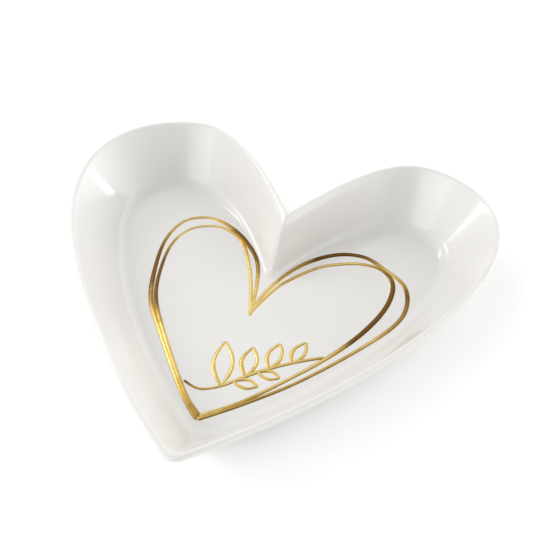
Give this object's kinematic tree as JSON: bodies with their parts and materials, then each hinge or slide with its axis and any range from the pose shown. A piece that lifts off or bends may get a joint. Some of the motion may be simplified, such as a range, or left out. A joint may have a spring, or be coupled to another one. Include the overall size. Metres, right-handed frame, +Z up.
{
  "type": "heart-shaped trinket dish",
  "caption": "Open heart-shaped trinket dish in glazed white porcelain, with sloping walls, a foot ring and a gold pen-line heart with a leafy sprig on its floor.",
  "frame": {"origin": "centre of the bounding box's underside, in the plane that the foot ring stands on", "axes": "+Z up out of the bowl, +Y from the tip towards the cleft, +X towards the right lobe when the tip is nearest the viewer"},
  "size_m": [0.12, 0.117, 0.0183],
  "materials": {
    "clay": "matte",
    "bare_clay": "matte",
    "glaze": "gloss",
    "gold": "gloss"
  },
  "bodies": {
    "root": {"porcelain_body": "clay", "foot_ring": "bare_clay", "glaze_coat": "glaze", "gold_outer_loop": "gold", "gold_inner_loop": "gold", "gold_flourish": "gold"}
  },
  "joints": []
}
